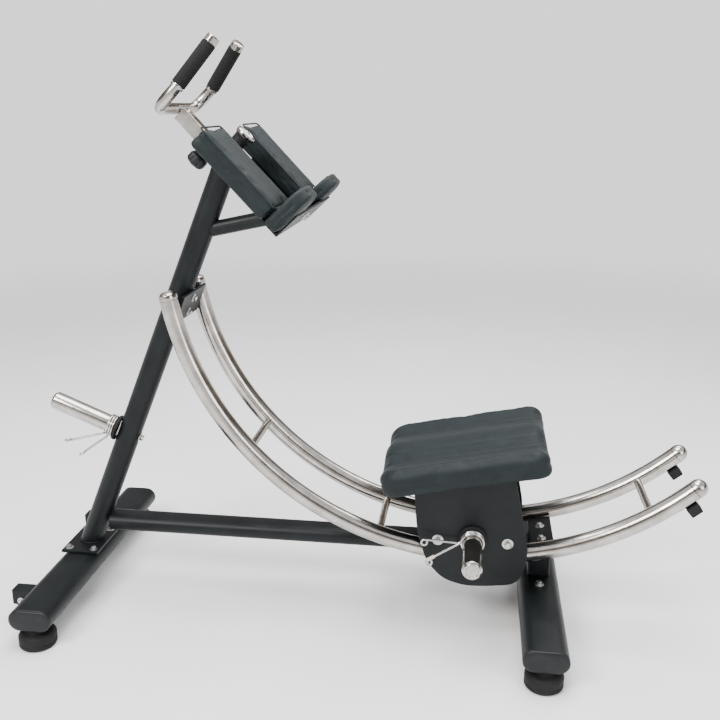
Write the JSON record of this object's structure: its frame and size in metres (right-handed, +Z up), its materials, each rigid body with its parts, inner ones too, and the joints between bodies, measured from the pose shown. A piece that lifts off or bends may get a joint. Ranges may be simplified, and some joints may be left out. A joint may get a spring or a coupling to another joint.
{
  "type": "ab crunch machine",
  "caption": "Kneeling abdominal crunch machine: a padded carriage rolls along curved chrome rails below a leaning post with forearm pads, hand grips and weight horns.",
  "frame": {"origin": "bottom centre of the bounding box, on the floor between the feet", "axes": "+X runs to the rear, away from the post; +Y to the far side; +Z up"},
  "size_m": [1.7367, 0.752, 1.4453],
  "materials": {
    "black_paint": "satin black powder coat over steel, fine texture",
    "chrome": "bright plated steel, slightly warm, light tube-drawing streaks",
    "rubber": "matt black moulded rubber",
    "vinyl": "black synthetic leather over foam, fine grain, soft sheen",
    "plastic": "matt black moulded plastic"
  },
  "bodies": {
    "frame": {"arm_pad_far": "vinyl", "arm_pad_near": "vinyl", "armrest_brace": "black_paint", "armrest_plate": "black_paint", "armrest_sleeve": "black_paint", "elbow_stop_far": "vinyl", "elbow_stop_near": "vinyl", "front_foot": "black_paint", "front_foot_cap_far": "plastic", "front_foot_cap_near": "plastic", "main_beam": "black_paint", "post": "black_paint", "post_base_plate": "black_paint", "rail_bumper_far": "rubber", "rail_bumper_near": "rubber", "rail_far": "chrome", "rail_near": "chrome", "rear_bracket_plate": "black_paint", "rear_foot": "black_paint", "rear_foot_cap_far": "plastic", "rear_foot_cap_near": "plastic", "rear_upright": "black_paint", "rep_counter": "plastic", "rubber_front_foot_far": "rubber", "rubber_front_foot_near": "rubber", "rubber_rear_foot_far": "rubber", "rubber_rear_foot_near": "rubber", "rung_front": "chrome", "rung_middle": "chrome", "rung_rear": "chrome", "storage_horn": "chrome", "storage_horn_flange": "rubber", "upper_bracket": "black_paint", "wheel_bracket_far": "black_paint", "wheel_bracket_near": "black_paint"},
    "carriage": {"carriage_cross_plate": "black_paint", "carriage_horn_far": "chrome", "carriage_horn_far_flange": "rubber", "carriage_horn_near": "chrome", "carriage_horn_near_flange": "rubber", "carriage_plate_far": "black_paint", "carriage_plate_near": "black_paint", "knee_pad": "vinyl"},
    "lower_roller_far_body": {"lower_roller_far": "plastic"},
    "lower_roller_near_body": {"lower_roller_near": "plastic"},
    "upper_roller_front_far_body": {"upper_roller_front_far": "plastic"},
    "upper_roller_front_near_body": {"upper_roller_front_near": "plastic"},
    "upper_roller_rear_far_body": {"upper_roller_rear_far": "plastic"},
    "upper_roller_rear_near_body": {"upper_roller_rear_near": "plastic"},
    "transport_wheel_near_body": {"transport_wheel_near": "rubber"},
    "carriage_collar_near_body": {"carriage_horn_near_collar": "chrome"},
    "transport_wheel_far_body": {"transport_wheel_far": "rubber"},
    "carriage_collar_far_body": {"carriage_horn_far_collar": "chrome"},
    "storage_collar_body": {"storage_horn_collar": "chrome"},
    "handle": {"handle_stem": "chrome", "handle_bar": "chrome", "grip_near": "rubber", "grip_far": "rubber"},
    "knob": {"clamp_knob": "plastic"}
  },
  "joints": [
    {"name": "carriage_roll", "type": "hinge", "parent": "frame", "child": "carriage", "pos_m": [0.31742, 0, 0.977], "axis": [0, 1, 0], "range_deg": [-37, 52]},
    {"name": "upper_roller_front_near_spin", "type": "hinge", "parent": "carriage", "child": "upper_roller_front_near_body", "pos_m": [0.23142, -0.111, 0.25762], "axis": [0, 1, 0], "continuous": true},
    {"name": "upper_roller_rear_near_spin", "type": "hinge", "parent": "carriage", "child": "upper_roller_rear_near_body", "pos_m": [0.40342, -0.111, 0.25762], "axis": [0, 1, 0], "continuous": true},
    {"name": "lower_roller_near_spin", "type": "hinge", "parent": "carriage", "child": "lower_roller_near_body", "pos_m": [0.31742, -0.111, 0.1725], "axis": [0, 1, 0], "continuous": true},
    {"name": "transport_wheel_near_spin", "type": "hinge", "parent": "frame", "child": "transport_wheel_near_body", "pos_m": [-0.84358, -0.22, 0.055], "axis": [0, 1, 0], "continuous": true},
    {"name": "carriage_collar_near_slide", "type": "slide", "parent": "carriage", "child": "carriage_collar_near_body", "axis": [0, -1, 0], "range_m": [0, 0.12]},
    {"name": "upper_roller_front_far_spin", "type": "hinge", "parent": "carriage", "child": "upper_roller_front_far_body", "pos_m": [0.23142, 0.111, 0.25762], "axis": [0, 1, 0], "continuous": true},
    {"name": "upper_roller_rear_far_spin", "type": "hinge", "parent": "carriage", "child": "upper_roller_rear_far_body", "pos_m": [0.40342, 0.111, 0.25762], "axis": [0, 1, 0], "continuous": true},
    {"name": "lower_roller_far_spin", "type": "hinge", "parent": "carriage", "child": "lower_roller_far_body", "pos_m": [0.31742, 0.111, 0.1725], "axis": [0, 1, 0], "continuous": true},
    {"name": "transport_wheel_far_spin", "type": "hinge", "parent": "frame", "child": "transport_wheel_far_body", "pos_m": [-0.84358, 0.22, 0.055], "axis": [0, 1, 0], "continuous": true},
    {"name": "carriage_collar_far_slide", "type": "slide", "parent": "carriage", "child": "carriage_collar_far_body", "axis": [0, 1, 0], "range_m": [0, 0.12]},
    {"name": "storage_collar_slide", "type": "slide", "parent": "frame", "child": "storage_collar_body", "axis": [-0.9225, 0, 0.3859], "range_m": [0, 0.15]},
    {"name": "handle_slide", "type": "slide", "parent": "frame", "child": "handle", "axis": [-0.682, 0, 0.7314], "range_m": [-0.03, 0.05]},
    {"name": "clamp_knob_turn", "type": "hinge", "parent": "frame", "child": "knob", "pos_m": [-0.36138, 0, 1.18997], "axis": [-0.7314, 0, -0.682], "range_deg": [0, 360]}
  ],
  "couplings": [
    {"joint": "upper_roller_front_near_spin", "follows": "carriage_roll", "ratio": -35.5},
    {"joint": "upper_roller_rear_near_spin", "follows": "carriage_roll", "ratio": -35.5},
    {"joint": "lower_roller_near_spin", "follows": "carriage_roll", "ratio": 56.464},
    {"joint": "upper_roller_front_far_spin", "follows": "carriage_roll", "ratio": -35.5},
    {"joint": "upper_roller_rear_far_spin", "follows": "carriage_roll", "ratio": -35.5},
    {"joint": "lower_roller_far_spin", "follows": "carriage_roll", "ratio": 56.464}
  ]
}
